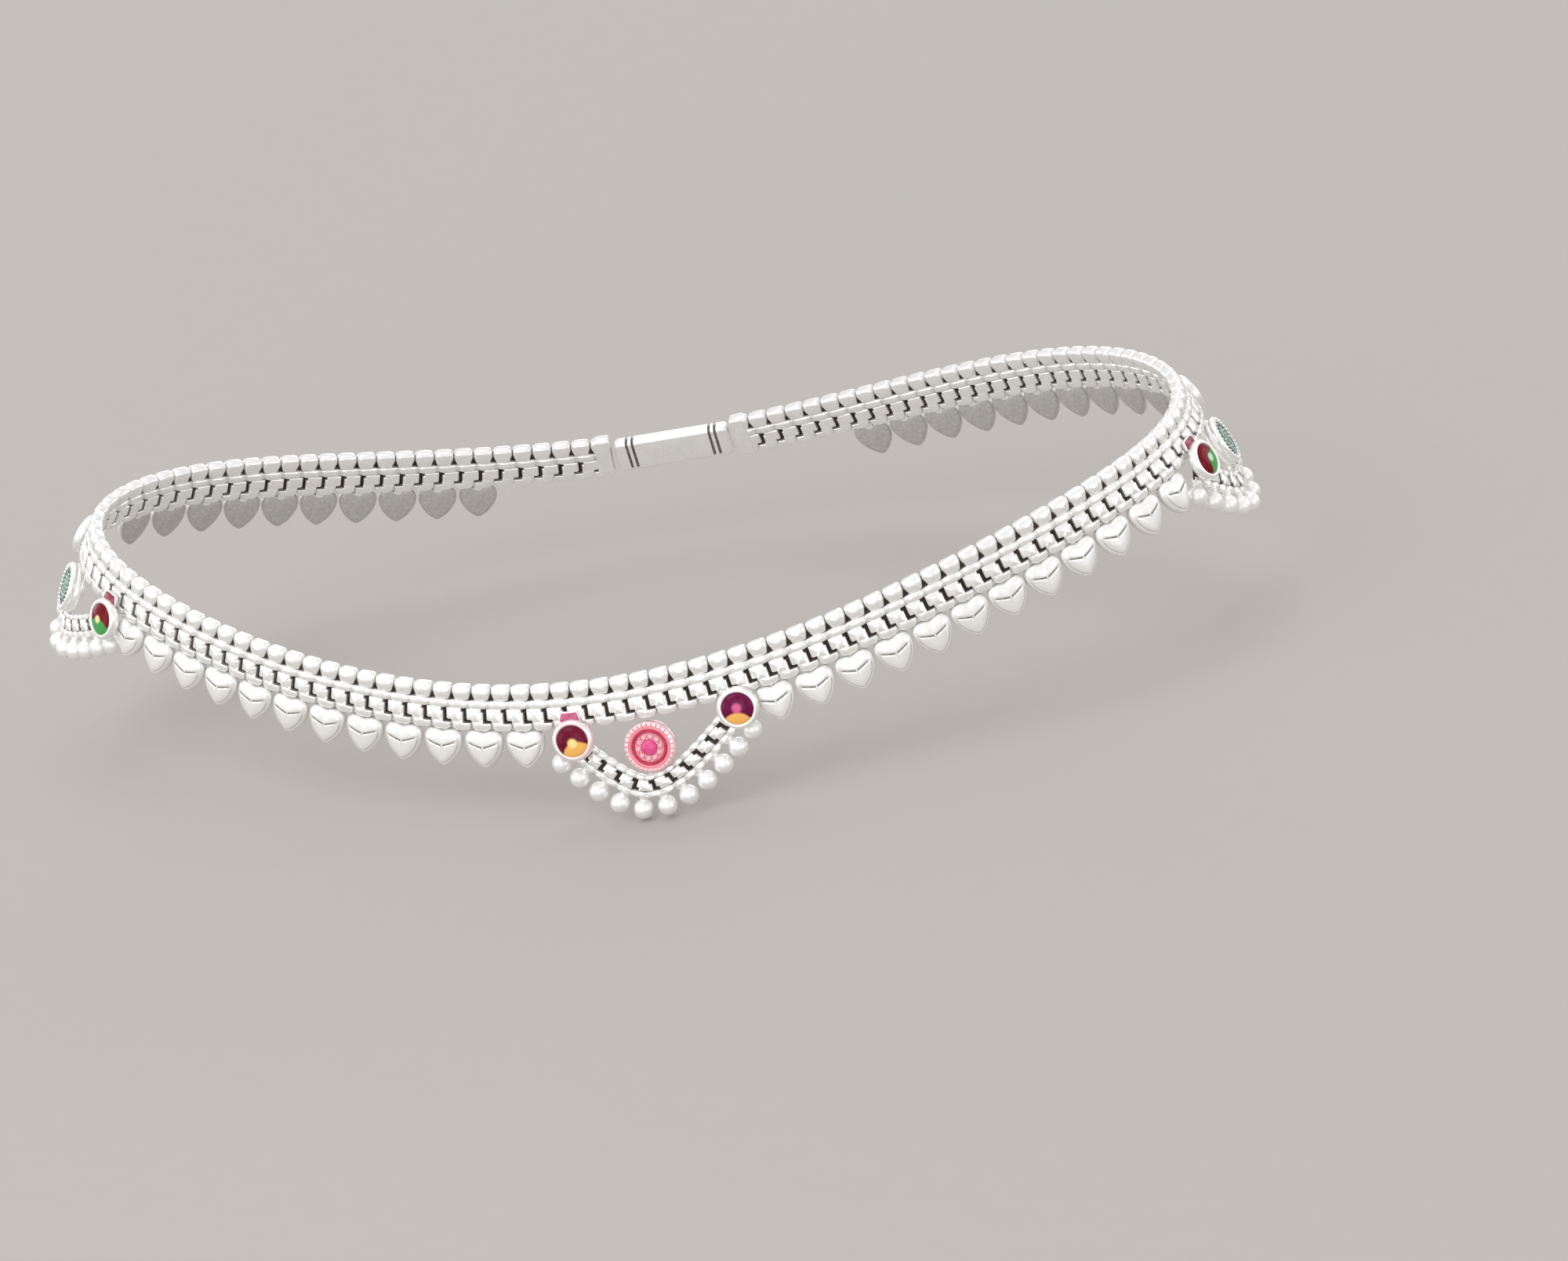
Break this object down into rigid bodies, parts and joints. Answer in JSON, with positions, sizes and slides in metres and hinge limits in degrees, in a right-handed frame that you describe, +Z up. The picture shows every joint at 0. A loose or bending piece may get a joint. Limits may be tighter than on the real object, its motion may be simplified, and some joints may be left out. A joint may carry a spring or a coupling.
{
  "type": "payal anklet",
  "caption": "Woven silver ankle chain in its worn form, with heart drops and three enamelled motifs with ball-edged swags.",
  "frame": {"origin": "the middle of the worn loop, in the plane of its mean height, where the ankle passes through", "axes": "+Z up the leg, +X along the loop's longest extent towards the toes, +Y away from the side with the front motif"},
  "size_m": [0.1182, 0.061, 0.0238],
  "materials": {
    "silver": "polished white silver with darkened recesses",
    "pink_enamel": "glossy fired enamel in a silver rim",
    "teal_enamel": "glossy fired enamel in a silver rim",
    "maroon_enamel": "glossy domed enamel in a silver rim",
    "green_enamel": "glossy domed enamel in a silver rim"
  },
  "bodies": {
    "root": {"woven_band": "silver", "heart_01": "silver", "heart_02": "silver", "heart_03": "silver", "heart_04": "silver", "heart_05": "silver", "heart_06": "silver", "heart_07": "silver", "heart_08": "silver", "heart_09": "silver", "heart_10": "silver", "heart_11": "silver", "heart_12": "silver", "heart_13": "silver", "heart_14": "silver", "heart_15": "silver", "heart_16": "silver", "heart_17": "silver", "heart_18": "silver", "heart_19": "silver", "heart_20": "silver", "heart_21": "silver", "heart_22": "silver", "heart_23": "silver", "heart_24": "silver", "heart_25": "silver", "heart_26": "silver", "heart_27": "silver", "heart_28": "silver", "heart_29": "silver", "heart_30": "silver", "heart_31": "silver", "heart_32": "silver", "heart_33": "silver", "heart_34": "silver", "heart_35": "silver", "heart_36": "silver", "heart_37": "silver", "heart_38": "silver", "heart_39": "silver", "heart_40": "silver", "heart_41": "silver", "heart_42": "silver", "heart_43": "silver", "heart_44": "silver", "clasp": "silver", "front_swag": "silver", "heel_swag": "silver", "instep_swag": "silver", "front_rosette": "pink_enamel", "front_stud_left": "maroon_enamel", "front_stud_right": "maroon_enamel", "heel_rosette": "teal_enamel", "heel_stud_left": "green_enamel", "heel_stud_right": "green_enamel", "instep_rosette": "teal_enamel", "instep_stud_left": "green_enamel", "instep_stud_right": "green_enamel"}
  },
  "joints": []
}
